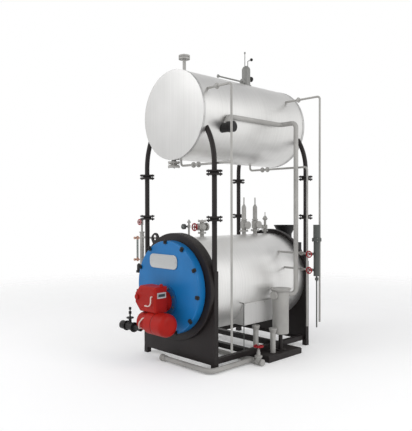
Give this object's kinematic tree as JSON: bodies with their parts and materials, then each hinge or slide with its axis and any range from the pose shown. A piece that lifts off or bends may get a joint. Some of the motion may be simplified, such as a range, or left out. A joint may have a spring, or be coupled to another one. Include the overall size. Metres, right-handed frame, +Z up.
{
  "type": "packaged steam boiler with overhead feedwater tank",
  "caption": "Horizontal fire-tube steam boiler on a skid, with a hinged burner door, valves and level gauges, and a clad feedwater tank carried on flanged posts above it.",
  "frame": {"origin": "middle of the bounding box, on the floor", "axes": "+Z up, -Y towards the burner door, +X towards the side with the feed line"},
  "size_m": [1.678, 2.287, 3.2397],
  "materials": {
    "black_frame": "satin brown-black paint",
    "black_iron": "matt black paint on iron",
    "cladding": "brushed stainless cladding sheet",
    "dark_steel": "heat-darkened steel",
    "door_blue": "satin blue paint",
    "burner_red": "satin red enamel",
    "pale_lead": "pale sheathed conduit",
    "pipe_grey": "warm grey paint",
    "column_grey": "dark grey paint",
    "wheel_red": "gloss red paint",
    "cock_bronze": "dull bronze",
    "gauge_glass": "clear glass tube"
  },
  "bodies": {
    "boiler": {"front_support": "black_frame", "rear_support": "black_frame", "feet": "black_frame", "base_rails": "black_frame", "cross_bars": "black_frame", "pump_plinth": "black_frame", "lower_posts": "black_frame", "middle_posts": "black_frame", "tank_arms": "black_frame", "front_head": "black_frame", "pot_pedestal": "black_frame", "lifting_lug": "black_frame", "rear_cover": "black_iron", "smoke_hood": "black_iron", "flue_collar": "black_iron", "hinge_lugs": "black_iron", "tank_valve": "black_iron", "breaker_knobs": "black_iron", "boiler_shell": "cladding", "tank_shell": "cladding", "tank_front_end": "cladding", "tank_rear_end": "cladding", "cladding_cover": "cladding", "tube_plate": "dark_steel", "furnace_tube": "dark_steel", "tank_vent": "pipe_grey", "vacuum_breaker": "pipe_grey", "tank_outlet": "pipe_grey", "feed_line": "pipe_grey", "feed_pot": "pipe_grey", "tundishes": "pipe_grey", "front_overflow_line": "pipe_grey", "rear_overflow_line": "pipe_grey", "rear_drain_line": "pipe_grey", "pressure_gauge": "pipe_grey", "steam_valve": "pipe_grey", "safety_valves": "pipe_grey", "air_vent": "pipe_grey", "column_pipes": "pipe_grey", "gauge_column": "pipe_grey", "blowdown_valve": "pipe_grey", "drain_line": "pipe_grey", "sample_line": "pipe_grey", "level_column": "column_grey", "level_controller": "column_grey", "gauge_cocks": "cock_bronze", "gauge_glass": "gauge_glass"},
    "door": {"front_door": "door_blue", "door_clamps": "black_iron", "burner_flange": "dark_steel", "burner_housing": "burner_red", "burner_fan": "burner_red", "gas_train": "black_iron", "burner_leads": "pale_lead"},
    "steam_wheel": {"steam_valve_wheel": "wheel_red"},
    "blow_wheel": {"blowdown_wheel": "wheel_red"},
    "upper_column_wheel": {"column_wheel_upper": "wheel_red"},
    "lower_column_wheel": {"column_wheel_lower": "wheel_red"},
    "gauge_wheel": {"gauge_valve_wheel": "wheel_red"}
  },
  "joints": [
    {"name": "door_hinge", "type": "hinge", "parent": "boiler", "child": "door", "pos_m": [-0.566, -0.8115, 0.746], "axis": [0, 0, -1], "range_deg": [0, 100]},
    {"name": "steam_valve_turn", "type": "hinge", "parent": "boiler", "child": "steam_wheel", "pos_m": [-0.069, -0.4835, 1.321], "axis": [0, -1, 0], "range_deg": [0, 1440]},
    {"name": "blowdown_valve_turn", "type": "hinge", "parent": "boiler", "child": "blow_wheel", "pos_m": [0.576, -0.2465, 0.184], "axis": [0, 0, 1], "range_deg": [0, 1440]},
    {"name": "upper_column_valve_turn", "type": "hinge", "parent": "boiler", "child": "upper_column_wheel", "pos_m": [0.743, 0.3445, 1.043], "axis": [0, -1, 0], "range_deg": [0, 1080]},
    {"name": "lower_column_valve_turn", "type": "hinge", "parent": "boiler", "child": "lower_column_wheel", "pos_m": [0.743, 0.3445, 0.88], "axis": [0, -1, 0], "range_deg": [0, 1080]},
    {"name": "gauge_valve_turn", "type": "hinge", "parent": "boiler", "child": "gauge_wheel", "pos_m": [-0.741, -0.6705, 1.36465], "axis": [0, -1, 0], "range_deg": [0, 1080]}
  ]
}
